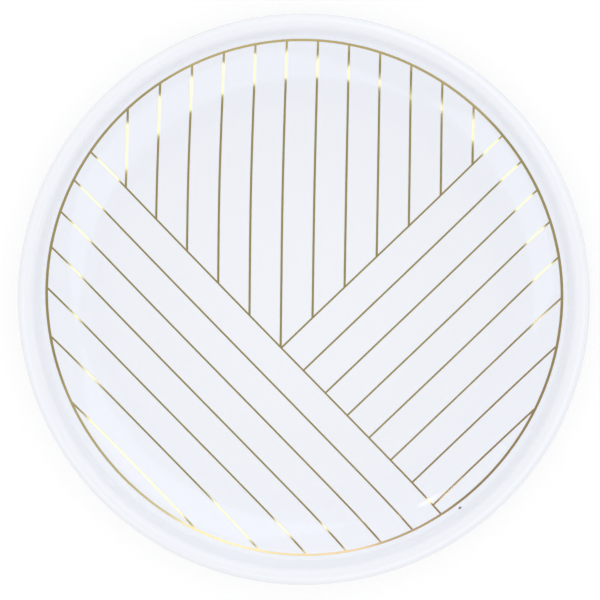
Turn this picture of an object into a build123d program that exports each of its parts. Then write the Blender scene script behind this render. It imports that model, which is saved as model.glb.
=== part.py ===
from build123d import *
import os
from math import cos, radians, sin, tan

# Ring dish: a low round porcelain tray with an upright rim, printed inside with fine gold lines.
# The frame stands at the middle of the face that the foot rests on, with +Z up.
# +Y is the way that the upright stripes point. Lengths are in millimetres and angles in degrees.

# Dish
RIM_DIAMETER = 110.0
HEIGHT = 18.0
WALL_THICKNESS = 2.6
WALL_ANGLE = 86.0
CORNER_RADIUS = 3.75
MARGIN_RADIUS = 16.25
MARGIN_SWEEP = 40.0

# Foot ring under the dish, set in from the edge of the flat underside and narrower towards its base
FOOT_INSET = 3.0
FOOT_BASE_WIDTH = 2.8
FOOT_HEIGHT = 1.8
FOOT_TAPER = 16.0
FOOT_EDGE_CHAMFER = 0.35

# Glaze, which is wiped off the lower part of the foot
GLAZE_THICKNESS = 0.25
BARE_FOOT_HEIGHT = 0.9

# Gold print
PRINT_THICKNESS = 0.12
BORDER_WIDTH = 0.4
STRIPE_PITCH = 6.15
UPRIGHT_STRIPE_WIDTH = 0.32
SLANTED_STRIPE_WIDTH = 0.24
SHORTEST_STRIPE = 4.0
FALLING_ANGLE = -44.4
RISING_ANGLE = 45.0
UPRIGHT_ANGLE = 90.0
HALF_TURN = 180.0
MEETING_POINT_X = -4.4
MEETING_POINT_Y = -9.9

# Levels and radii of the unglazed clay, from the sizes above
FLOOR_LEVEL = FOOT_HEIGHT + WALL_THICKNESS
LIP_RADIUS = WALL_THICKNESS / 2
LIP_CENTRE_X = RIM_DIAMETER / 2 - GLAZE_THICKNESS - LIP_RADIUS
LIP_CENTRE_Z = HEIGHT - GLAZE_THICKNESS - LIP_RADIUS
WALL_TOP_X = LIP_CENTRE_X - LIP_RADIUS * sin(radians(WALL_ANGLE))
WALL_TOP_Z = LIP_CENTRE_Z + LIP_RADIUS * cos(radians(WALL_ANGLE))
MARGIN_TOP_Z = FLOOR_LEVEL + MARGIN_RADIUS * (1 - cos(radians(MARGIN_SWEEP)))
CORNER_RISE = CORNER_RADIUS * (cos(radians(MARGIN_SWEEP)) - cos(radians(WALL_ANGLE)))
CORNER_RUN = CORNER_RADIUS * (sin(radians(WALL_ANGLE)) - sin(radians(MARGIN_SWEEP)))
WALL_LENGTH = (WALL_TOP_Z - MARGIN_TOP_Z - CORNER_RISE) / sin(radians(WALL_ANGLE))
MARGIN_TOP_X = WALL_TOP_X - WALL_LENGTH * cos(radians(WALL_ANGLE)) - CORNER_RUN
FLAT_RADIUS = MARGIN_TOP_X - MARGIN_RADIUS * sin(radians(MARGIN_SWEEP))
FOOT_RADIUS = FLAT_RADIUS - FOOT_INSET - FOOT_BASE_WIDTH / 2

# The print lies on the glaze, and its border ends where the margin does
PRINT_TOP = GLAZE_THICKNESS + PRINT_THICKNESS
BORDER_RADIUS = MARGIN_TOP_X - PRINT_TOP * sin(radians(MARGIN_SWEEP))
FIELD_RADIUS = BORDER_RADIUS - BORDER_WIDTH
STRIPE_REACH = 2 * RIM_DIAMETER


def dish_wall():
    """Section of the clay without its foot: floor, curved margin, corner, upright wall and round lip."""
    turn = WALL_ANGLE - MARGIN_SWEEP
    floor = Line((0, FLOOR_LEVEL), (FLAT_RADIUS, FLOOR_LEVEL))
    margin = JernArc(floor @ 1, floor % 1, MARGIN_RADIUS, MARGIN_SWEEP)
    corner = JernArc(margin @ 1, margin % 1, CORNER_RADIUS, turn)
    wall = Line(corner @ 1, (WALL_TOP_X, WALL_TOP_Z))
    lip = JernArc(wall @ 1, wall % 1, LIP_RADIUS, -HALF_TURN)
    outer_wall = Line(lip @ 1, lip @ 1 + (lip % 1) * WALL_LENGTH)
    outer_corner = JernArc(outer_wall @ 1, outer_wall % 1, CORNER_RADIUS + WALL_THICKNESS, -turn)
    outer_margin = JernArc(
        outer_corner @ 1, outer_corner % 1, MARGIN_RADIUS + WALL_THICKNESS, -MARGIN_SWEEP
    )
    underside = Line(outer_margin @ 1, (0, FOOT_HEIGHT))
    axis = Line((0, FOOT_HEIGHT), (0, FLOOR_LEVEL))
    return make_face(
        [floor, margin, corner, wall, lip, outer_wall, outer_corner, outer_margin, underside, axis]
    )


def foot_ring():
    """Section of the tapered foot ring, let into the floor, with its standing edges cut off."""
    top = FOOT_HEIGHT + WALL_THICKNESS / 2
    half_base = FOOT_BASE_WIDTH / 2
    half_top = half_base + top * tan(radians(FOOT_TAPER))
    ring = make_face(Polyline((-half_base, 0), (half_base, 0), (half_top, top), (-half_top, top), close=True))
    return Pos(FOOT_RADIUS, 0) * chamfer(ring.vertices().sort_by(Axis.Y)[:2], FOOT_EDGE_CHAMFER)


def clay_section():
    """Section of the whole clay body."""
    return dish_wall() + foot_ring()


def glaze_sections(clay):
    """Sections of the glaze: all over the dish, and on the base inside the foot."""
    coated = offset(clay, GLAZE_THICKNESS)
    width = RIM_DIAMETER
    glazed_zone = Pos(width / 2, BARE_FOOT_HEIGHT + HEIGHT / 2) * Rectangle(width, HEIGHT)
    return ((coated & glazed_zone) - clay).faces().sort_by(SortBy.AREA)


def turned(section):
    """Solid turned about the dish's axis from a section drawn as radius and height."""
    return revolve(Plane.XZ * section, Axis.Z)


def surface_line(lift):
    """Floor and margin in section, raised by lift above the clay."""
    floor = Line((0, FLOOR_LEVEL + lift), (FLAT_RADIUS, FLOOR_LEVEL + lift))
    return floor, JernArc(floor @ 1, floor % 1, MARGIN_RADIUS - lift, MARGIN_SWEEP)


def film():
    """The layer that all the gold lies in: a thin skin on the glaze of the floor and margin."""
    under, over = surface_line(GLAZE_THICKNESS), surface_line(PRINT_TOP)
    ends = [Line(under[0] @ 0, over[0] @ 0), Line(under[1] @ 1, over[1] @ 1)]
    return turned(make_face([*under, *over, *ends]))


def printed(layer, outline):
    """Gold of the layer that lies under an outline drawn in plan."""
    return layer & extrude(outline, HEIGHT)


def stripe_outline(angle, width, step):
    """Long stripe in plan, a number of pitches to the left of the line through the meeting point."""
    lie = Pos(MEETING_POINT_X, MEETING_POINT_Y) * Rot(0, 0, angle)
    return lie * Pos(0, step * STRIPE_PITCH) * Rectangle(STRIPE_REACH, width)


def side_of(angle):
    """All that lies to the left of a slanted stripe through the meeting point, clear of the stripe."""
    lie = Pos(MEETING_POINT_X, MEETING_POINT_Y) * Rot(0, 0, angle)
    centre = (STRIPE_REACH + SLANTED_STRIPE_WIDTH) / 2
    return lie * Pos(0, centre) * Rectangle(STRIPE_REACH, STRIPE_REACH)


def stripe_field(angle, width, steps, region):
    """Outlines of parallel stripes that fill a region, without those that come out too short."""
    outlines = [region & stripe_outline(angle, width, step) for step in steps]
    return [outline for outline in outlines if outline and outline.area > SHORTEST_STRIPE * width]


def gold_pieces():
    """The border and the stripes, which are numbered outward from the meeting point."""
    layer = film()
    field = Circle(FIELD_RADIUS)
    above_falling = field & side_of(FALLING_ANGLE)
    above_both = above_falling & side_of(RISING_ANGLE)
    reach = int(RIM_DIAMETER / STRIPE_PITCH)
    leftward = range(0, reach)
    rightward = range(-1, -reach, -1)
    downward = range(0, -reach, -1)
    fields = {
        "left_upright_stripe": stripe_field(UPRIGHT_ANGLE, UPRIGHT_STRIPE_WIDTH, leftward, above_both),
        "right_upright_stripe": stripe_field(UPRIGHT_ANGLE, UPRIGHT_STRIPE_WIDTH, rightward, above_both),
        "falling_stripe": stripe_field(FALLING_ANGLE, SLANTED_STRIPE_WIDTH, downward, field),
        "rising_stripe": stripe_field(RISING_ANGLE, SLANTED_STRIPE_WIDTH, downward, above_falling),
    }
    border = Circle(BORDER_RADIUS) - field
    pieces = {"border_line": printed(layer, border)}
    for name, outlines in fields.items():
        for number, outline in enumerate(outlines, 1):
            pieces[f"{name}_{number:02d}"] = printed(layer, outline)
    return pieces


def dish_pieces():
    """The clay body and its two areas of glaze, by name."""
    clay = clay_section()
    base_glaze, dish_glaze = glaze_sections(clay)
    return {
        "porcelain_body": turned(clay),
        "dish_glaze": turned(dish_glaze),
        "base_glaze": turned(base_glaze),
    }


os.makedirs("parts", exist_ok=True)
for name, piece in {**dish_pieces(), **gold_pieces()}.items():
    export_step(piece, f"parts/{name}.step")
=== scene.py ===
from math import cos, exp, hypot, pi, radians, sin, sqrt, tan

import bpy
from mathutils import Matrix, Vector, noise


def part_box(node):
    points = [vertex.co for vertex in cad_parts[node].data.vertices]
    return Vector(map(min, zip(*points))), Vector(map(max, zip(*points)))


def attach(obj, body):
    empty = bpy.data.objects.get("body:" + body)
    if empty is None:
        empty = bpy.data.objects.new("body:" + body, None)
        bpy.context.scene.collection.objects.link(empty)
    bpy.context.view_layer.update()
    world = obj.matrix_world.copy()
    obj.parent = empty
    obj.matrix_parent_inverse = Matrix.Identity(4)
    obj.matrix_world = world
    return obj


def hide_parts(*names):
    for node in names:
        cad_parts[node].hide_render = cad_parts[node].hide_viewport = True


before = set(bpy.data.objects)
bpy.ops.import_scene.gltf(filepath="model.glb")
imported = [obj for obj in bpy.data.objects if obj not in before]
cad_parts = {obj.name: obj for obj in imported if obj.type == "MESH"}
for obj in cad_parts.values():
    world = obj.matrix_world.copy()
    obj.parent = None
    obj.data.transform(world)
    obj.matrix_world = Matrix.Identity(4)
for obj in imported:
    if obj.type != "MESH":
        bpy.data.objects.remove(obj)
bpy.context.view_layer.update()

# Ring dish: turned porcelain with a clear glaze and a fine gold print.
# Lengths are in millimetres and angles in degrees, and meshes are made in metres.
# The sizes are those of the CAD source, but for a margin that sweeps a little further to a tighter corner,
# and gold lines as broad as the photograph shows them.

MM = 0.001

# Dish, with the rim and the height read from the CAD glaze in model.glb
GLAZE_LOW, GLAZE_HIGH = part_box("dish_glaze")
RIM_RADIUS = (GLAZE_HIGH.x - GLAZE_LOW.x) / 2 / MM
HEIGHT = GLAZE_HIGH.z / MM
WALL_THICKNESS = 2.6
WALL_ANGLE = 86.0
CORNER_RADIUS = 2.7
MARGIN_RADIUS = 16.25
MARGIN_SWEEP = 42.0

# Foot ring under the dish, with rows of points at shares of its height and uneven bare clay
FOOT_INSET = 3.0
FOOT_BASE_WIDTH = 2.8
FOOT_HEIGHT = 1.8
FOOT_TAPER = 16.0
FOOT_EDGE_RADIUS = 0.35
FOOT_ROW_SHARES = 1, 2 / 3, 1 / 2, 1 / 3
BARE_CLAY_RELIEF = 0.012
BARE_CLAY_GRAIN = 1.5

# Glaze: it pools where the foot meets the underside, and ends on the foot in a bead along a wobbly line.
# Its waves lift it on the floor and margin, and past a turn beyond the border they push it outward.
GLAZE_THICKNESS = 0.25
BARE_FOOT_HEIGHT = 0.9
GLAZE_POOL_RADIUS = 0.45
GLAZE_BEAD = 0.12
GLAZE_LINE_WOBBLE = 0.10
GLAZE_WOBBLE_LENGTH = 4.0
GLAZE_WAVE = 0.010
GLAZE_WAVE_LENGTH = 14.0
GLAZE_WAVE_TURN = 1.0

# Gold print: the border's radius is that of its outer edge. By shares of its width, the border swells
# towards +Y and is pulled broader where it runs along Y, as the upright stripes are.
BORDER_RADIUS = 50.38
BORDER_WIDTH = 0.48
BORDER_SWELL = 0.06
BORDER_PULL = 0.07
FIELD_RADIUS = BORDER_RADIUS - BORDER_WIDTH
STRIPE_PITCH = 6.15
UPRIGHT_STRIPE_WIDTH = 0.45
SLANTED_STRIPE_WIDTH = 0.37
FALLING_ANGLE = -44.4
RISING_ANGLE = 45.0
UPRIGHT_ANGLE = 90.0
MEETING_POINT = Vector((-4.4, -9.9))
PRINT_RELIEF = 0.014
PRINT_BEVEL = 0.010
PRINT_BITE = 0.030
PRINT_OVERLAP = 0.10
PRINT_RAGGEDNESS = 0.05
PRINT_RAG_LENGTH = 1.3
BORDER_RAG_COUNT = 30
STRIPE_SEED = 10
SIDE_SEED = 7
RAG_LAYER = 0.5
STRIPE_ROW_LENGTH = 0.6
FEWEST_STRIPE_ROWS = 8
BORDER_ROWS = 720

# The print was laid by hand as one damp sheet, so it leans, is drawn in towards its top and has crept,
# and the rising stripes lie a little low, the last of them less so
PRINT_HALF = 50.0
PRINT_SHIFT = Vector((0.08, -0.09))
PRINT_LEAN = -0.17
PRINT_DRAW_IN = -0.98
PRINT_SMILE = 0.52
CREEP = Vector((-0.40, 0.56))
CREEP_CENTRE = Vector((-20.0, 22.0))
CREEP_REACH = 18.0
RISING_SHIFT = -0.18
LAST_RISING_SHIFT = 0.20
RISING_STRIPES = sum(node.startswith("rising_stripe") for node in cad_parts)
LAST_RISING_STEP = 1 - RISING_STRIPES

# Section of the unglazed clay, from the sizes above
FLOOR_LEVEL = FOOT_HEIGHT + WALL_THICKNESS
LIP_RADIUS = WALL_THICKNESS / 2
LIP_CENTRE = (RIM_RADIUS - GLAZE_THICKNESS - LIP_RADIUS, HEIGHT - GLAZE_THICKNESS - LIP_RADIUS)
WALL_SIN = sin(radians(WALL_ANGLE))
WALL_COS = cos(radians(WALL_ANGLE))
MARGIN_SIN = sin(radians(MARGIN_SWEEP))
MARGIN_COS = cos(radians(MARGIN_SWEEP))
WALL_TOP = (LIP_CENTRE[0] - LIP_RADIUS * WALL_SIN, LIP_CENTRE[1] + LIP_RADIUS * WALL_COS)
MARGIN_TOP_Z = FLOOR_LEVEL + MARGIN_RADIUS * (1 - MARGIN_COS)
WALL_BASE_Z = MARGIN_TOP_Z + CORNER_RADIUS * (MARGIN_COS - WALL_COS)
WALL_BASE_X = WALL_TOP[0] - (WALL_TOP[1] - WALL_BASE_Z) / WALL_SIN * WALL_COS
MARGIN_TOP_X = WALL_BASE_X - CORNER_RADIUS * (WALL_SIN - MARGIN_SIN)
FLAT_RADIUS = MARGIN_TOP_X - MARGIN_RADIUS * MARGIN_SIN
MARGIN_CENTRE = (FLAT_RADIUS, FLOOR_LEVEL + MARGIN_RADIUS)
CORNER_CENTRE = (WALL_BASE_X - CORNER_RADIUS * WALL_SIN, WALL_BASE_Z + CORNER_RADIUS * WALL_COS)
FOOT_RADIUS = FLAT_RADIUS - FOOT_INSET - FOOT_BASE_WIDTH / 2
FOOT_SLOPE = tan(radians(FOOT_TAPER))

# Fineness of the turned meshes: steps along each stretch of the section, and segments round the axis.
# A point nearer the axis than the gap lies on it.
FLOOR_STEPS = 20
MARGIN_STEPS = 32
CORNER_STEPS = 24
WALL_STEPS = 6
LIP_STEPS = 40
UNDERSIDE_STEPS = 4
POOL_STEPS = 8
BEAD_STEPS = 5
JOIN_STEPS = 3
FOOT_EDGE_STEPS = 5
BASE_STEPS = 12
BASE_BACK_STEPS = 6
CLAY_BASE_SHARE = 0.75
GLAZE_SEGMENTS = 320
CLAY_SEGMENTS = 288
SHARP_ANGLE = 40
AXIS_GAP = 1e-6

# Tones of the glaze, with the zones that carry them as distances from the axis and levels over the table.
# The floor's white is painted shade that darkens the middle of the floor, and the lip's white is painted
# shade that darkens the lip.
GLAZE_WHITES = (0.918, 0.938, 0.984, 1), (0.928, 0.946, 0.990, 1)
PAINTED_SHADE_FLOOR_WHITE = (0.890, 0.908, 0.950, 1)
PAINTED_SHADE_FLOOR_ZONE = 30.0, 42.0
PAINTED_SHADE_LIP_WHITE = (0.888, 0.906, 0.946, 1)
PAINTED_SHADE_LIP_LEVELS = 11.5, 15.0
PAINTED_SHADE_LIP_ZONE = 53.2, 54.1
SPECK_GREY = (0.12, 0.12, 0.115, 1)
PIN_SPECK_SCALE = 150.0
PIN_SPECK_BAND = 0.012, 0.022
PIN_SPECK_THRESHOLD = 0.93
PIN_SPECK_STRENGTH = 0.35
IRON_SPECK_PLACE = Vector((31.4, -40.2, 9.1))
IRON_SPECK_SIZE = 0.42
IRON_SPECK_CORE_SHARE = 0.45

# Gloss of the glaze, which is duller on the steep inner wall
GLAZE_SPECULAR = 0.27
GLAZE_ROUGHNESS = 0.045, 0.075
WALL_DULLNESS = 0.40
WALL_ZONE_LEVELS = 8.8, 10.5
WALL_ZONE = 52.5, 53.0
GLAZE_RIPPLE = 0.0006

# Tones of the bare clay and of the gold, whose corner towards +X and -Y is redder as a painted reflection of
# a warm object
CLAY_TONES = (0.80, 0.77, 0.715, 1), (0.86, 0.84, 0.80, 1)
CLAY_RUB = (0.62, 0.59, 0.54, 1)
CLAY_RUB_BAND = 0.62, 0.75
CLAY_RUB_SHARE = 0.5
CLAY_ROUGHNESS = 0.55, 0.8
CLAY_RELIEF = 0.03
GOLD_TONES = (0.83, 0.68, 0.30, 1), (0.88, 0.73, 0.36, 1)
PAINTED_REFLECTION_GOLD = (0.85, 0.62, 0.33, 1)
PAINTED_REFLECTION_GOLD_ZONE = 36.0, 62.0
GOLD_ROUGHNESS = 0.12, 0.18
GOLD_RELIEF = 0.002

# Scales of the noises in the materials, per metre, and the band that most of a noise lies in
GLAZE_CLOUD_SCALE = 45
GLAZE_SMEAR_SCALE = 260
GLAZE_RIPPLE_SCALE = 620
CLAY_CLOUD_SCALE = 160
CLAY_RUB_SCALE = 900
CLAY_GRAIN_SCALE = 6000
GOLD_CLOUD_SCALE = 180
GOLD_SMEAR_SCALE = 700
GOLD_GRAIN_SCALE = 5200
NOISE_BAND = 0.3, 0.7

# Camera: the image's right-hand way is turned a little from +X, and the lens looks in from the top
IMAGE_TURN = 1.35
CAMERA_HEIGHT = 654.65
CAMERA_TILT = 3.0
LENS = 199.47
LOOK_AT = (-0.77, -0.54)
CLIP_START = 50.0
CLIP_END = 20000.0

# Light tent, which lights all that is matt: its strength overhead, on its sides and on its far side. The
# sides begin and end at a climb over the table and the far side at a turn towards +Y, both as sines.
TENT_RADIUS = 3000.0
TENT_RINGS = 12
TENT_SEGMENTS = 32
TENT_OVERHEAD = 0.79
TENT_SIDES = 1.155
TENT_FAR_SIDE = 1.31
TENT_FAR_ZONE = 0.2, 0.8
TENT_SIDES_FOOT = 0.14, 0.20
TENT_SIDES_TOP = 0.70, 0.80

# Lamps that only the gloss shows
LAMP_DISTANCE = 800.0
LAMP_TONE = (0.88, 1.0, 1.4)
PANEL_TONE = (0.88, 0.96, 1.25)
PLAIN_TONE = (1, 1, 1)

# Table, which glows for what sees it and is plain matt for the light that it throws back
TABLE_HALF = 4000.0
TABLE_DROP = 0.02
TABLE_GLOW = 1.22
TABLE_GLOW_SHARE = 0.5
TABLE_GREY = (0.50, 0.50, 0.50, 1)
TABLE_WHITE = (0.90, 0.90, 0.90, 1)

# Room: white up to the horizon's climb, and dim from the room's climb upward
HORIZON_WHITE = (1, 1, 1, 1)
HORIZON_CLIMB = 2
ROOM_GREY = (0.345, 0.35, 0.345, 1)
ROOM_CLIMB = 12


# Sections of the dish

def arc(centre, radius, start, end, steps):
    """Points of an arc from one angle to another."""
    turns = [radians(start + (end - start) * i / steps) for i in range(steps + 1)]
    return [(centre[0] + radius * cos(a), centre[1] + radius * sin(a)) for a in turns]


def line(start, end, steps):
    """Points from start to end, without either of them."""
    run, rise = end[0] - start[0], end[1] - start[1]
    return [(start[0] + run * i / steps, start[1] + rise * i / steps) for i in range(1, steps)]


def upper_side(lift):
    """The dish's inside in section, from the axis over the lip, raised by lift."""
    floor = [(FLAT_RADIUS * i / FLOOR_STEPS, FLOOR_LEVEL + lift) for i in range(FLOOR_STEPS)]
    margin = arc(MARGIN_CENTRE, MARGIN_RADIUS - lift, -90, MARGIN_SWEEP - 90, MARGIN_STEPS)
    corner = arc(CORNER_CENTRE, CORNER_RADIUS - lift, MARGIN_SWEEP - 90, WALL_ANGLE - 90, CORNER_STEPS)
    lip = arc(LIP_CENTRE, LIP_RADIUS + lift, WALL_ANGLE + 90, WALL_ANGLE - 90, LIP_STEPS)
    return floor + margin + corner[1:] + line(corner[-1], lip[0], WALL_STEPS) + lip


def lower_side(lift):
    """The outside in section, from the foot of the wall's outer face to the underside, raised by lift."""
    corner_radius = CORNER_RADIUS + WALL_THICKNESS + lift
    margin_radius = MARGIN_RADIUS + WALL_THICKNESS + lift
    corner = arc(CORNER_CENTRE, corner_radius, WALL_ANGLE - 90, MARGIN_SWEEP - 90, CORNER_STEPS)
    return corner + arc(MARGIN_CENTRE, margin_radius, MARGIN_SWEEP - 90, -90, MARGIN_STEPS)[1:]


def foot_side(lift, side, level):
    """Distance from the axis of the foot's side, outer (1) or inner (-1), at a level."""
    slant = FOOT_SLOPE * level + lift / cos(radians(FOOT_TAPER))
    return FOOT_RADIUS + side * (FOOT_BASE_WIDTH / 2 + slant)


def foot_glaze(side):
    """Glaze on a side of the foot: from the underside round the pool, down, and back up the clay."""
    pool, bead = [], []
    for i in range(POOL_STEPS + 1):
        z = FOOT_HEIGHT - GLAZE_THICKNESS - GLAZE_POOL_RADIUS * (i / POOL_STEPS) ** 2
        spread = side * GLAZE_POOL_RADIUS * (1 - i / POOL_STEPS) ** 2
        pool.append((foot_side(GLAZE_THICKNESS, side, z) + spread, z))
    for i in range(BEAD_STEPS + 1):
        turn = radians(90 * i / BEAD_STEPS)
        z = BARE_FOOT_HEIGHT + GLAZE_BEAD * (1 - sin(turn))
        bead.append((foot_side(GLAZE_THICKNESS * cos(turn), side, z), z))
    clay_top = (foot_side(0, side, FOOT_HEIGHT), FOOT_HEIGHT)
    return pool + bead + line(bead[-1], clay_top, JOIN_STEPS) + [clay_top]


def glaze_section():
    """Section of the glaze over the dish: its face, then the clay's face, more coarsely, on the way back."""
    inside, outside = upper_side(GLAZE_THICKNESS), lower_side(GLAZE_THICKNESS)
    face = inside + line(inside[-1], outside[0], WALL_STEPS) + outside
    foot = foot_glaze(1)
    under = line(face[-1], foot[0], UNDERSIDE_STEPS)
    back = lower_side(0)[::-2] + upper_side(0)[::-2]
    return face + under + foot + line(foot[-1], back[0], JOIN_STEPS) + back


def base_section():
    """Section of the glaze on the base inside the foot."""
    foot = foot_glaze(-1)
    under = [(foot[0][0] * i / BASE_STEPS, FOOT_HEIGHT - GLAZE_THICKNESS) for i in range(BASE_STEPS)]
    back = [(foot[-1][0] * i / BASE_BACK_STEPS, FOOT_HEIGHT) for i in range(BASE_BACK_STEPS)]
    return back + foot[::-1] + under[::-1]


def clay_section():
    """Section of the clay: inside, lip, outside, underside and the tapered foot with its round edges."""
    edge = FOOT_EDGE_RADIUS
    levels = [FOOT_HEIGHT * share for share in FOOT_ROW_SHARES] + [edge]
    outer_foot = [(foot_side(0, 1, z), z) for z in levels]
    inner_foot = [(foot_side(0, -1, z), z) for z in levels[::-1]]
    bottom = FOOT_RADIUS + FOOT_BASE_WIDTH / 2 - edge
    run = foot_side(0, 1, edge) - bottom
    turns = [radians(90 * i / FOOT_EDGE_STEPS) for i in range(1, FOOT_EDGE_STEPS + 1)]
    outer_edge = [(bottom + run * cos(a), edge * (1 - sin(a))) for a in turns]
    inner_edge = [(2 * FOOT_RADIUS - x, z) for x, z in outer_edge[::-1]]
    reach = FLAT_RADIUS * CLAY_BASE_SHARE
    base = [(reach * (1 - i / BASE_BACK_STEPS), FOOT_HEIGHT) for i in range(BASE_BACK_STEPS + 1)]
    return upper_side(0) + lower_side(0) + outer_foot + outer_edge + inner_edge + inner_foot + base


# Meshes

def make_object(name, points, faces):
    """An object of the scene, from points in millimetres, smooth but for its sharp edges."""
    mesh = bpy.data.meshes.new(name)
    mesh.from_pydata([Vector(p) * MM for p in points], [], faces)
    mesh.update()
    mesh.shade_smooth()
    mesh.set_sharp_from_angle(angle=radians(SHARP_ANGLE))
    piece = bpy.data.objects.new(name, mesh)
    bpy.context.scene.collection.objects.link(piece)
    return piece


def is_on_axis(x):
    """Whether a point of a section lies on the axis."""
    return x < AXIS_GAP


def lathe(name, section, segments, shift):
    """A closed turned mesh from a section that runs from the axis back to it, or round off the axis."""
    points, rings = [], []
    for x, z in section:
        if is_on_axis(x):
            rings.append([len(points)] * segments)
            points.append((0, 0, z))
            continue
        rings.append(list(range(len(points), len(points) + segments)))
        for i in range(segments):
            turn = 2 * pi * i / segments
            r, level = shift(x, z, turn)
            points.append((r * cos(turn), r * sin(turn), level))
    pairs = list(zip(rings, rings[1:]))
    if not is_on_axis(section[0][0]):
        pairs.append((rings[-1], rings[0]))
    faces = []
    for low, high in pairs:
        for i in range(segments):
            j = (i + 1) % segments
            corners = [low[i], high[i], high[j], low[j]]
            face = [c for k, c in enumerate(corners) if c not in corners[:k]]
            if len(face) > 2:
                faces.append(face)
    return make_object(name, points, faces)


def wave(x, y):
    """Slow rise and fall of the glaze at a place in plan."""
    return GLAZE_WAVE * noise.noise(Vector((x, y, 0)) / GLAZE_WAVE_LENGTH)


def glaze_shift(x, z, turn):
    """A point of the glaze's surface moved by its waves, or by the wobble of its edge on the foot."""
    pool_level = FOOT_HEIGHT - GLAZE_THICKNESS
    if z < pool_level:
        depth = (pool_level - z) / (pool_level - BARE_FOOT_HEIGHT)
        place = Vector((cos(turn), sin(turn), 0)) * FOOT_RADIUS / GLAZE_WOBBLE_LENGTH
        rise = GLAZE_LINE_WOBBLE * noise.noise(place) * min(depth, 1)
        side = 1 if x > FOOT_RADIUS else -1
        return x + side * rise * FOOT_SLOPE, z + rise
    rise = wave(x * cos(turn), x * sin(turn))
    outward = min(max((x - BORDER_RADIUS) / GLAZE_WAVE_TURN - 1, 0), 1)
    return x + rise * outward, z + rise * (1 - outward)


def clay_shift(x, z, turn):
    """A point of the clay, which is a little uneven on the bare foot."""
    if 0 < z < BARE_FOOT_HEIGHT:
        place = Vector((x * cos(turn), x * sin(turn), z)) / BARE_CLAY_GRAIN
        return x + BARE_CLAY_RELIEF * noise.noise(place), z
    return x, z


# The print

def surface(r):
    """Level of the glazed inside at a distance from the axis, and the slope of its surface."""
    if r < FLAT_RADIUS:
        return FLOOR_LEVEL + GLAZE_THICKNESS, 0.0
    if r < MARGIN_TOP_X - GLAZE_THICKNESS * MARGIN_SIN:
        centre, radius = MARGIN_CENTRE, MARGIN_RADIUS - GLAZE_THICKNESS
    else:
        centre, radius = CORNER_CENTRE, CORNER_RADIUS - GLAZE_THICKNESS
    run = (r - centre[0]) / radius
    rise = sqrt(1 - run * run)
    return centre[1] - radius * rise, run / rise


def drift(x, y):
    """How far the print has moved in plan from its regular layout, at a place."""
    u, v = x / PRINT_HALF, y / PRINT_HALF
    gap = Vector((x, y)) - CREEP_CENTRE
    creep = CREEP * exp(-gap.length_squared / (2 * CREEP_REACH**2))
    bend = Vector((PRINT_LEAN * v + PRINT_DRAW_IN * u * v * v, PRINT_SMILE * u**4))
    return PRINT_SHIFT + creep + bend


def laid(x, y, height):
    """A point of the print, laid on the glaze in plan and raised square to it."""
    x, y = Vector((x, y)) + drift(x, y)
    r = hypot(x, y)
    level, slope = surface(r)
    size = hypot(1, slope)
    push = -height * slope / size / max(r, 1)
    return (x * (1 + push), y * (1 + push), level + wave(x, y) + height / size)


def strip(name, spine, width, closed):
    """A thin closed strip along a spine of (left point, right point) pairs across its width."""
    bevel = PRINT_BEVEL / width
    # Share of the width and share of the relief, from the left edge to the right
    profile = [(0, 0), (bevel, 0.9), (0.2, 0.98), (0.5, 1), (0.8, 0.98), (1 - bevel, 0.9), (1, 0)]
    points, faces = [], []
    for left, right in spine:
        for share, height in profile:
            x, y = left.lerp(right, share)
            points.append(laid(x, y, PRINT_RELIEF * height))
        points.append(laid(right.x, right.y, -PRINT_BITE))
        points.append(laid(left.x, left.y, -PRINT_BITE))
    ring = len(profile) + 2
    rows = len(spine)
    for row in range(rows if closed else rows - 1):
        near, far = row * ring, (row + 1) % rows * ring
        for k in range(ring):
            beside = (k + 1) % ring
            faces.append((near + k, near + beside, far + beside, far + k))
    if not closed:
        faces.append(tuple(range(ring))[::-1])
        faces.append(tuple(range((rows - 1) * ring, rows * ring)))
    return make_object(name, points, faces)


def way_and_normal(angle):
    """The way that a line in plan runs, and the way square to it on its left."""
    way = Vector((cos(radians(angle)), sin(radians(angle))))
    return way, Vector((-way.y, way.x))


def family_shift(angle):
    """How far the stripes that run at an angle lie to the left of their regular places."""
    return RISING_SHIFT if angle == RISING_ANGLE else 0


def ragged(place):
    """How much wider or narrower the print comes out at a place in its noise."""
    return 1 + PRINT_RAGGEDNESS * noise.noise(Vector(place))


def clipped(start, way, keep_left_of):
    """The stretch of a line inside the border and on the left of each key line, as two distances."""
    middle = -start.dot(way)
    half = sqrt(FIELD_RADIUS**2 - start.length_squared + middle**2)
    low, high = middle - half - PRINT_OVERLAP, middle + half + PRINT_OVERLAP
    for angle in keep_left_of:
        normal = way_and_normal(angle)[1]
        edge = family_shift(angle) + SLANTED_STRIPE_WIDTH / 2 - PRINT_OVERLAP
        gap = (start - MEETING_POINT).dot(normal) - edge
        closing = way.dot(normal)
        cut = -gap / closing
        if closing > 0:
            low = max(low, cut)
        else:
            high = min(high, cut)
    return low, high


def stripe_spine(angle, width, step, keep_left_of):
    """Pairs of edge points along a stripe, whose ends are cut to the lines that it meets."""
    way, normal = way_and_normal(angle)
    shift = family_shift(angle)
    if angle == RISING_ANGLE and step == LAST_RISING_STEP:
        shift += LAST_RISING_SHIFT
    origin = MEETING_POINT + normal * (step * STRIPE_PITCH + shift)
    edges = []
    for side in (0.5, -0.5):
        start = origin + normal * side * width
        edges.append((start, *clipped(start, way, keep_left_of)))
    rows = max(int((edges[0][2] - edges[0][1]) / STRIPE_ROW_LENGTH), FEWEST_STRIPE_ROWS)
    seed = STRIPE_SEED * step + angle
    spine = []
    for i in range(rows + 1):
        pair = []
        for start, low, high in edges:
            along = low + (high - low) * i / rows
            place = along / PRINT_RAG_LENGTH, seed + len(pair) * SIDE_SEED, RAG_LAYER
            swell = (start - origin) * ragged(place)
            pair.append(origin + swell + way * along)
        spine.append(tuple(pair))
    return spine


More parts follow.
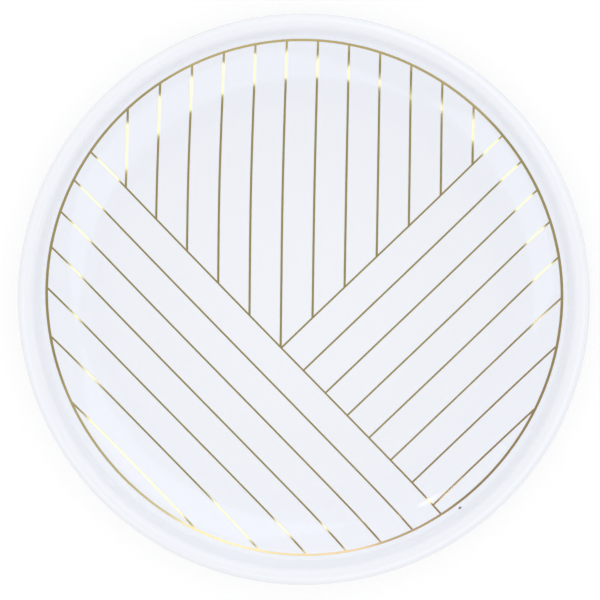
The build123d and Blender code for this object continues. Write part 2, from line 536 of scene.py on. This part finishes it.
def border_spine():
    """Pairs of edge points round the border line."""
    middle = BORDER_RADIUS - BORDER_WIDTH / 2
    spine = []
    for i in range(BORDER_ROWS):
        turn = 2 * pi * i / BORDER_ROWS
        way = Vector((cos(turn), sin(turn)))
        pull = BORDER_PULL * (way.x**2 - way.y**2)
        half = BORDER_WIDTH / 2 * (1 + BORDER_SWELL * way.y + pull)
        inner, outer = [half * ragged(Vector((way.x, way.y, k)) * BORDER_RAG_COUNT) for k in (0, 1)]
        spine.append((way * (middle - inner), way * (middle + outer)))
    return spine


# Materials

class Shader:
    """The nodes of a material or a world in the making."""

    def __init__(self, owner, output):
        owner.use_nodes = True
        self.owner = owner
        self.tree = owner.node_tree
        self.tree.nodes.clear()
        self.output = self.tree.nodes.new(output)

    def feed(self, socket, value):
        """Links a socket to an input, or gives the input a plain value."""
        if isinstance(value, bpy.types.NodeSocket):
            self.tree.links.new(value, socket)
        else:
            socket.default_value = value

    def add(self, kind, settings=None, **inputs):
        """A new node, with its inputs given by name, or by number as i0, i1 and so on."""
        made = self.tree.nodes.new(kind)
        for key, value in (settings or {}).items():
            setattr(made, key, value)
        for key, value in inputs.items():
            numbered = key[0] == "i" and key[1:].isdigit()
            self.feed(made.inputs[int(key[1:]) if numbered else key.replace("_", " ")], value)
        return made

    def place(self):
        """The point on the object, in metres."""
        return self.add("ShaderNodeTexCoord").outputs["Object"]

    def noise(self, place, scale, detail=2.0):
        """Noise between 0 and 1."""
        return self.add("ShaderNodeTexNoise", Vector=place, Scale=scale, Detail=detail).outputs["Fac"]

    def spread(self, value, low, high, start=0.0, end=1.0):
        """A value carried from the range between start and end to the one between low and high."""
        made = self.add("ShaderNodeMapRange", Value=value)
        for key, number in (("From Min", start), ("From Max", end), ("To Min", low), ("To Max", high)):
            made.inputs[key].default_value = number
        return made.outputs["Result"]

    def beyond(self, length, zone):
        """0 before a zone and 1 beyond it, for a length in metres and a zone in millimetres."""
        return self.spread(length, 0, 1, zone[0] * MM, zone[1] * MM)

    def within(self, length, zone):
        """1 before a zone and 0 beyond it, for a length in metres and a zone in millimetres."""
        return self.spread(length, 1, 0, zone[0] * MM, zone[1] * MM)

    def blend(self, factor, first, second):
        """A mix of two colours."""
        made = self.add("ShaderNodeMix", {"data_type": "RGBA"}, i0=factor, i6=first, i7=second)
        return made.outputs[2]

    def math(self, operation, first, second):
        """Arithmetic on two values."""
        return self.add("ShaderNodeMath", {"operation": operation}, i0=first, i1=second).outputs[0]

    def bump(self, height, depth, strength=1.0):
        """A bumped normal, with the height in millimetres of a step from 0 to 1 as its depth."""
        made = self.add("ShaderNodeBump", Height=height, Strength=strength, Distance=depth * MM)
        return made.outputs["Normal"]

    def finish(self, closure):
        """Closes the material or world with the output of a shading node."""
        self.tree.links.new(closure, self.output.inputs[0])
        return self.owner

    def principled(self, **inputs):
        """Closes the material with a Principled shader."""
        return self.finish(self.add("ShaderNodeBsdfPrincipled", **inputs).outputs[0])


def new_material(name):
    """The nodes of a new material."""
    return Shader(bpy.data.materials.new(name), "ShaderNodeOutputMaterial")


def iron_speck(shader, place):
    """1 inside the small round speck of iron in the glaze and 0 outside it."""
    spot = IRON_SPECK_PLACE * MM
    gap = shader.add("ShaderNodeVectorMath", {"operation": "DISTANCE"}, i0=place, i1=spot)
    return shader.within(gap.outputs["Value"], (IRON_SPECK_SIZE * IRON_SPECK_CORE_SHARE, IRON_SPECK_SIZE))


def pin_specks(shader, place):
    """Faint pin specks in a few cells of the glaze."""
    cells = shader.add("ShaderNodeTexVoronoi", Vector=place, Scale=PIN_SPECK_SCALE)
    tiny = shader.spread(cells.outputs["Distance"], 1, 0, *PIN_SPECK_BAND)
    chosen = shader.add("ShaderNodeSeparateColor", Color=cells.outputs["Color"]).outputs[0]
    few = shader.math("GREATER_THAN", chosen, PIN_SPECK_THRESHOLD)
    return shader.math("MULTIPLY", shader.math("MULTIPLY", tiny, few), PIN_SPECK_STRENGTH)


def glaze_material():
    """Clear glaze on white porcelain: glossy, faintly blue, with a fine ripple, a few specks, and painted
    shade that darkens the middle of the floor and the lip.
    """
    shader = new_material("glazed_porcelain")
    place = shader.place()
    level = shader.add("ShaderNodeSeparateXYZ", Vector=place).outputs["Z"]
    flat = shader.add("ShaderNodeVectorMath", {"operation": "MULTIPLY"}, i0=place, i1=(1, 1, 0)).outputs[0]
    reach = shader.add("ShaderNodeVectorMath", {"operation": "LENGTH"}, i0=flat).outputs["Value"]
    tint = shader.blend(shader.noise(place, GLAZE_CLOUD_SCALE), *GLAZE_WHITES)
    # Painted shade: the middle of the floor is darker
    tint = shader.blend(shader.within(reach, PAINTED_SHADE_FLOOR_ZONE), tint, PAINTED_SHADE_FLOOR_WHITE)
    # Painted shade: the lip is darker
    lip = shader.math("MULTIPLY", shader.beyond(level, PAINTED_SHADE_LIP_LEVELS), shader.within(reach, PAINTED_SHADE_LIP_ZONE))
    tint = shader.blend(lip, tint, PAINTED_SHADE_LIP_WHITE)
    specks = shader.math("MAXIMUM", pin_specks(shader, place), iron_speck(shader, place))
    colour = shader.blend(specks, tint, SPECK_GREY)
    wall = shader.math("MULTIPLY", shader.beyond(level, WALL_ZONE_LEVELS), shader.within(reach, WALL_ZONE))
    smear = shader.noise(place, GLAZE_SMEAR_SCALE, detail=4.0)
    rough = shader.spread(smear, *GLAZE_ROUGHNESS, *NOISE_BAND)
    rough = shader.math("ADD", rough, shader.math("MULTIPLY", wall, WALL_DULLNESS))
    ripple = shader.bump(shader.noise(place, GLAZE_RIPPLE_SCALE), GLAZE_RIPPLE)
    return shader.principled(
        Base_Color=colour, Roughness=rough, Specular_IOR_Level=GLAZE_SPECULAR, Normal=ripple
    )


def clay_material():
    """Bare fired porcelain: matt and warm, with a fine grain."""
    shader = new_material("bare_porcelain")
    place = shader.place()
    tint = shader.blend(shader.noise(place, CLAY_CLOUD_SCALE, detail=5.0), *CLAY_TONES)
    grain = shader.noise(place, CLAY_GRAIN_SCALE, detail=3.0)
    smear = shader.noise(place, CLAY_RUB_SCALE, detail=4.0)
    rub = shader.spread(smear, 0, CLAY_RUB_SHARE, *CLAY_RUB_BAND)
    colour = shader.blend(rub, tint, CLAY_RUB)
    rough = shader.spread(grain, *CLAY_ROUGHNESS)
    fine = shader.bump(grain, CLAY_RELIEF, strength=0.7)
    return shader.principled(Base_Color=colour, Roughness=rough, Normal=fine)


def gold_material():
    """Fired gold: a thin bright film that follows the glaze, a little uneven in tone and gloss, with a
    painted reflection that reddens its corner towards +X and -Y.
    """
    shader = new_material("fired_gold")
    place = shader.place()
    axes = shader.add("ShaderNodeSeparateXYZ", Vector=place)
    lean = shader.math("SUBTRACT", axes.outputs["X"], axes.outputs["Y"])
    pale = shader.blend(shader.noise(place, GOLD_CLOUD_SCALE, detail=3.0), *GOLD_TONES)
    # Painted reflection: the gold is redder towards +X and -Y
    colour = shader.blend(shader.beyond(lean, PAINTED_REFLECTION_GOLD_ZONE), pale, PAINTED_REFLECTION_GOLD)
    smear = shader.noise(place, GOLD_SMEAR_SCALE, detail=3.0)
    rough = shader.spread(smear, *GOLD_ROUGHNESS, *NOISE_BAND)
    fine = shader.bump(shader.noise(place, GOLD_GRAIN_SCALE), GOLD_RELIEF, strength=0.6)
    return shader.principled(Base_Color=colour, Metallic=1.0, Roughness=rough, Normal=fine)


# Pieces

def finish_piece(piece, node, material):
    """Dresses a piece, which takes the place of a CAD node and rides on the body."""
    piece.data.materials.append(material)
    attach(piece, "root")
    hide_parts(node)


clay_body = lathe("turned_clay_body", clay_section(), CLAY_SEGMENTS, clay_shift)
finish_piece(clay_body, "porcelain_body", clay_material())

glaze = glaze_material()
glaze_coat = lathe("glaze_coat", glaze_section(), GLAZE_SEGMENTS, glaze_shift)
finish_piece(glaze_coat, "dish_glaze", glaze)
foot_coat = lathe("glaze_inside_foot", base_section(), CLAY_SEGMENTS, glaze_shift)
finish_piece(foot_coat, "base_glaze", glaze)

gold = gold_material()
finish_piece(strip("gold_border", border_spine(), BORDER_WIDTH, True), "border_line", gold)

# Each family of stripes: angle, width, the number's step to the left and the step at number 0, in
# pitches, and the lines that it ends on
FAMILIES = {
    "left_upright_stripe": (UPRIGHT_ANGLE, UPRIGHT_STRIPE_WIDTH, 1, -1, (FALLING_ANGLE, RISING_ANGLE)),
    "right_upright_stripe": (UPRIGHT_ANGLE, UPRIGHT_STRIPE_WIDTH, -1, 0, (FALLING_ANGLE, RISING_ANGLE)),
    "falling_stripe": (FALLING_ANGLE, SLANTED_STRIPE_WIDTH, -1, 1, ()),
    "rising_stripe": (RISING_ANGLE, SLANTED_STRIPE_WIDTH, -1, 1, (FALLING_ANGLE,)),
}
for node in sorted(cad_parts):
    family, number = node.rsplit("_", 1)
    if family in FAMILIES:
        angle, width, sign, start, ends_on = FAMILIES[family]
        spine = stripe_spine(angle, width, sign * int(number) + start, ends_on)
        finish_piece(strip(f"gold_{node}", spine, width, False), node, gold)


# Stage, light and camera

def in_image_axes(right, up, height):
    """A point in metres, from millimetres to the image's right, to its top and above the table."""
    turn = radians(IMAGE_TURN)
    x = right * cos(turn) - up * sin(turn)
    y = right * sin(turn) + up * cos(turn)
    return Vector((x, y, height)) * MM


def soft_lamp(name, azimuth, zenith, roll, width, height, radiance, tone):
    """A soft box that only the gloss shows. Its azimuth is clockwise from the image's right."""
    turn, fall = radians(azimuth), radians(zenith)
    out, up = sin(fall) * LAMP_DISTANCE, cos(fall) * LAMP_DISTANCE
    centre = in_image_axes(out * cos(turn), -out * sin(turn), up)
    back = centre.normalized()
    across = (-back).cross(Vector((0, 0, 1))).normalized()
    rise = back.cross(across)
    tilt = radians(roll)
    x_axis = across * cos(tilt) + rise * sin(tilt)
    y_axis = back.cross(x_axis)
    data = bpy.data.lights.new(name, "AREA")
    data.shape = "RECTANGLE"
    data.color = tone
    data.size = width * MM
    data.size_y = height * MM
    data.energy = radiance * pi * data.size * data.size_y
    lamp = bpy.data.objects.new(name, data)
    lamp.matrix_world = Matrix.Translation(centre) @ Matrix((x_axis, y_axis, back)).transposed().to_4x4()
    lamp.visible_camera = False
    lamp.visible_diffuse = False
    bpy.context.scene.collection.objects.link(lamp)


def make_stage(name, points, faces, material):
    """An object that is no part of the dish, from points in millimetres."""
    mesh = bpy.data.meshes.new(name)
    mesh.from_pydata([Vector(p) * MM for p in points], [], faces)
    mesh.materials.append(material)
    stage = bpy.data.objects.new(name, mesh)
    bpy.context.scene.collection.objects.link(stage)
    return stage


def table_material():
    """White, and lit enough to keep the dish's shadow where it is seen."""
    shader = new_material("white_table")
    path = shader.add("ShaderNodeLightPath").outputs
    seen = shader.math("MAXIMUM", path["Is Camera Ray"], path["Is Glossy Ray"])
    seen = shader.math("MAXIMUM", seen, path["Is Transmission Ray"])
    matt = shader.add("ShaderNodeBsdfDiffuse", Color=shader.blend(seen, TABLE_GREY, TABLE_WHITE)).outputs[0]
    glow = shader.add("ShaderNodeEmission", Color=(1, 1, 1, 1), Strength=TABLE_GLOW).outputs[0]
    share = shader.math("MULTIPLY", seen, TABLE_GLOW_SHARE)
    return shader.finish(shader.add("ShaderNodeMixShader", i0=share, i1=matt, i2=glow).outputs[0])


def make_table():
    """A large white table just under the foot."""
    corners = [(-1, -1), (1, -1), (1, 1), (-1, 1)]
    points = [(x * TABLE_HALF, y * TABLE_HALF, -TABLE_DROP) for x, y in corners]
    make_stage("table_top", points, [(0, 1, 2, 3)], table_material())


def tent_material():
    """Light that is stronger from the sides than from overhead, and strongest from the far side."""
    shader = new_material("tent_light")
    way = shader.add("ShaderNodeVectorMath", {"operation": "NORMALIZE"}, i0=shader.place()).outputs[0]
    axes = shader.add("ShaderNodeSeparateXYZ", Vector=way).outputs
    foot = shader.spread(axes["Z"], 0, 1, *TENT_SIDES_FOOT)
    top = shader.spread(axes["Z"], 1, 0, *TENT_SIDES_TOP)
    sides, far_side = TENT_SIDES - TENT_OVERHEAD, TENT_FAR_SIDE - TENT_OVERHEAD
    excess = shader.spread(axes["Y"], sides, far_side, *TENT_FAR_ZONE)
    band = shader.math("MULTIPLY", top, foot)
    strength = shader.math("ADD", shader.math("MULTIPLY", band, excess), TENT_OVERHEAD)
    return shader.finish(shader.add("ShaderNodeEmission", Color=(1, 1, 1, 1), Strength=strength).outputs[0])


def make_tent():
    """A round light tent over the table, which lights only what is matt."""
    points, faces = [(0, 0, TENT_RADIUS)], []
    for ring in range(1, TENT_RINGS + 1):
        fall = pi / 2 * ring / TENT_RINGS
        for i in range(TENT_SEGMENTS):
            turn = 2 * pi * i / TENT_SEGMENTS
            way = Vector((sin(fall) * cos(turn), sin(fall) * sin(turn), cos(fall)))
            points.append(way * TENT_RADIUS)
    for i in range(TENT_SEGMENTS):
        j = (i + 1) % TENT_SEGMENTS
        faces.append((0, 1 + j, 1 + i))
        for ring in range(TENT_RINGS - 1):
            high = 1 + ring * TENT_SEGMENTS
            low = high + TENT_SEGMENTS
            faces.append((high + i, high + j, low + j, low + i))
    tent = make_stage("light_tent", points, faces, tent_material())
    tent.visible_camera = False
    tent.visible_glossy = False
    tent.visible_transmission = False


def make_world():
    """A dim room over the table, pale towards the horizon."""
    world = bpy.data.worlds.new("studio")
    bpy.context.scene.world = world
    shader = Shader(world, "ShaderNodeOutputWorld")
    way = shader.add("ShaderNodeTexCoord").outputs["Generated"]
    climb = shader.add("ShaderNodeSeparateXYZ", Vector=way).outputs["Z"]
    dimness = shader.spread(climb, 0, 1, sin(radians(HORIZON_CLIMB)), sin(radians(ROOM_CLIMB)))
    tone = shader.blend(dimness, HORIZON_WHITE, ROOM_GREY)
    shader.finish(shader.add("ShaderNodeBackground", Color=tone).outputs[0])


def make_camera():
    """The photograph's view, from almost straight above."""
    data = bpy.data.cameras.new("camera")
    data.lens = LENS
    data.clip_start = CLIP_START * MM
    data.clip_end = CLIP_END * MM
    camera = bpy.data.objects.new("camera", data)
    level = FLOOR_LEVEL + GLAZE_THICKNESS
    place = in_image_axes(0, (CAMERA_HEIGHT - level) * tan(radians(CAMERA_TILT)), CAMERA_HEIGHT)
    target = in_image_axes(*LOOK_AT, level)
    back = (place - target).normalized()
    right = in_image_axes(1, 0, 0)
    right = (right - back * right.dot(back)).normalized()
    up = back.cross(right)
    camera.matrix_world = Matrix.Translation(place) @ Matrix((right, up, back)).transposed().to_4x4()
    bpy.context.scene.collection.objects.link(camera)
    bpy.context.scene.camera = camera


# Azimuth, zenith, roll, width, height, radiance and tone of each lamp
soft_lamp("lamp_lower_right", 56.5, 37.0, 0.8, 800, 655, 1.35, LAMP_TONE)
soft_lamp("lamp_lower_left", 152.0, 45.6, -5.5, 555, 479, 1.35, LAMP_TONE)
soft_lamp("lamp_upper_right", 306.7, 37.7, -6.6, 642, 596, 1.35, LAMP_TONE)
soft_lamp("low_panel_top", 277.0, 73.0, 0.0, 680, 260, 0.55, PANEL_TONE)
soft_lamp("low_panel_top_wide", 280.0, 73.0, 0.0, 1700, 260, 0.32, PANEL_TONE)
soft_lamp("low_panel_top_right", 312.0, 73.0, 0.0, 924, 260, 0.20, PANEL_TONE)
soft_lamp("low_panel_bottom", 97.0, 73.0, 0.0, 1150, 260, 0.16, PLAIN_TONE)
soft_lamp("small_lamp", 236.0, 41.0, 0.0, 45, 85, 6.0, PLAIN_TONE)
make_tent()
make_table()
make_world()
make_camera()
bpy.context.scene.view_settings.view_transform = "Standard"
